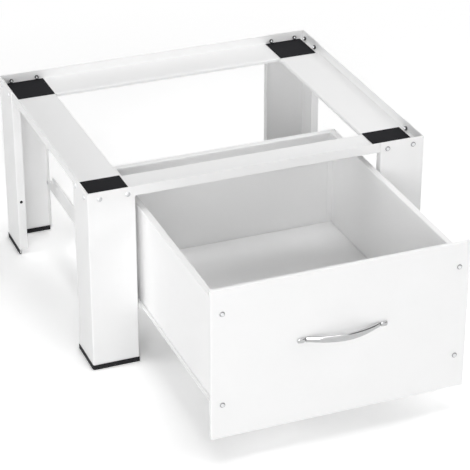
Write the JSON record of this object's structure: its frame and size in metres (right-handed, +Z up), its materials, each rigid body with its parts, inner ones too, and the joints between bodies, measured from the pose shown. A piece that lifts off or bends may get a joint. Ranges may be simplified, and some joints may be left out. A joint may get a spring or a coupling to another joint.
{
  "type": "washer pedestal with drawer",
  "caption": "Sheet-steel stand that raises a washing machine, with lipped rails, anti-slip corner pads, folded legs and a wide drawer on roller runners.",
  "frame": {"origin": "on the floor, under the middle of the whole object with its drawer standing open as in the picture", "axes": "+Z up, -Y the way the drawer opens, +X to the right seen from the front"},
  "size_m": [0.6346, 0.9122, 0.345],
  "materials": {
    "white_paint": "satin white powder coat",
    "black_rubber": "matt black",
    "zinc_steel": "zinc plated",
    "chrome": "polished",
    "white_nylon": "moulded"
  },
  "bodies": {
    "frame": {"leg_front_left": "white_paint", "foot_cap_front_left": "black_rubber", "pad_front_left": "black_rubber", "leg_front_right": "white_paint", "foot_cap_front_right": "black_rubber", "pad_front_right": "black_rubber", "leg_rear_left": "white_paint", "foot_cap_rear_left": "black_rubber", "pad_rear_left": "black_rubber", "leg_rear_right": "white_paint", "foot_cap_rear_right": "black_rubber", "pad_rear_right": "black_rubber", "rail_front": "white_paint", "rail_rear": "white_paint", "rail_left": "white_paint", "rail_right": "white_paint", "leg_bolt_front_left_1": "zinc_steel", "leg_bolt_front_left_2": "zinc_steel", "leg_bolt_front_left_3": "zinc_steel", "leg_bolt_front_left_4": "zinc_steel", "bar_screw_front_left": "zinc_steel", "leg_bolt_front_right_1": "zinc_steel", "leg_bolt_front_right_2": "zinc_steel", "leg_bolt_front_right_3": "zinc_steel", "leg_bolt_front_right_4": "zinc_steel", "bar_screw_front_right": "zinc_steel", "leg_bolt_rear_left_1": "zinc_steel", "leg_bolt_rear_left_2": "zinc_steel", "leg_bolt_rear_left_3": "zinc_steel", "leg_bolt_rear_left_4": "zinc_steel", "bar_screw_rear_left": "zinc_steel", "leg_bolt_rear_right_1": "zinc_steel", "leg_bolt_rear_right_2": "zinc_steel", "leg_bolt_rear_right_3": "zinc_steel", "leg_bolt_rear_right_4": "zinc_steel", "bar_screw_rear_right": "zinc_steel", "runner_bar_left": "white_paint", "fixed_rail_left": "white_paint", "runner_bar_right": "white_paint", "fixed_rail_right": "white_paint"},
    "drawer": {"drawer_rail_left": "white_paint", "drawer_side_left": "white_paint", "drawer_rail_right": "white_paint", "drawer_side_right": "white_paint", "drawer_back": "white_paint", "drawer_bottom": "white_paint", "drawer_front": "white_paint", "handle": "chrome", "front_screw_top_left": "zinc_steel", "front_screw_bottom_left": "zinc_steel", "handle_screw_left": "zinc_steel", "front_screw_top_right": "zinc_steel", "front_screw_bottom_right": "zinc_steel", "handle_screw_right": "zinc_steel"},
    "front_roller_left": {"front_roller_left": "white_nylon"},
    "front_roller_right": {"front_roller_right": "white_nylon"},
    "rear_roller_left": {"rear_roller_left": "white_nylon"},
    "rear_roller_right": {"rear_roller_right": "white_nylon"}
  },
  "joints": [
    {"name": "drawer_slide", "type": "slide", "parent": "frame", "child": "drawer", "axis": [0, -1, 0], "range_m": [-0.3477, 0.0275]},
    {"name": "front_roller_left_spin", "type": "hinge", "parent": "frame", "child": "front_roller_left", "pos_m": [-0.2258, -0.05925, 0.105], "axis": [1, 0, 0], "range_deg": [-2300, 200]},
    {"name": "front_roller_right_spin", "type": "hinge", "parent": "frame", "child": "front_roller_right", "pos_m": [0.2258, -0.05925, 0.105], "axis": [1, 0, 0], "range_deg": [-2300, 200]},
    {"name": "rear_roller_left_spin", "type": "hinge", "parent": "drawer", "child": "rear_roller_left", "pos_m": [-0.2252, 0.08075, 0.105], "axis": [1, 0, 0], "range_deg": [-2300, 200]},
    {"name": "rear_roller_right_spin", "type": "hinge", "parent": "drawer", "child": "rear_roller_right", "pos_m": [0.2252, 0.08075, 0.105], "axis": [1, 0, 0], "range_deg": [-2300, 200]}
  ],
  "couplings": [
    {"joint": "front_roller_left_spin", "follows": "drawer_slide", "rad_per_m": 113.64},
    {"joint": "front_roller_right_spin", "follows": "drawer_slide", "rad_per_m": 113.64},
    {"joint": "rear_roller_left_spin", "follows": "drawer_slide", "rad_per_m": 113.64},
    {"joint": "rear_roller_right_spin", "follows": "drawer_slide", "rad_per_m": 113.64}
  ]
}
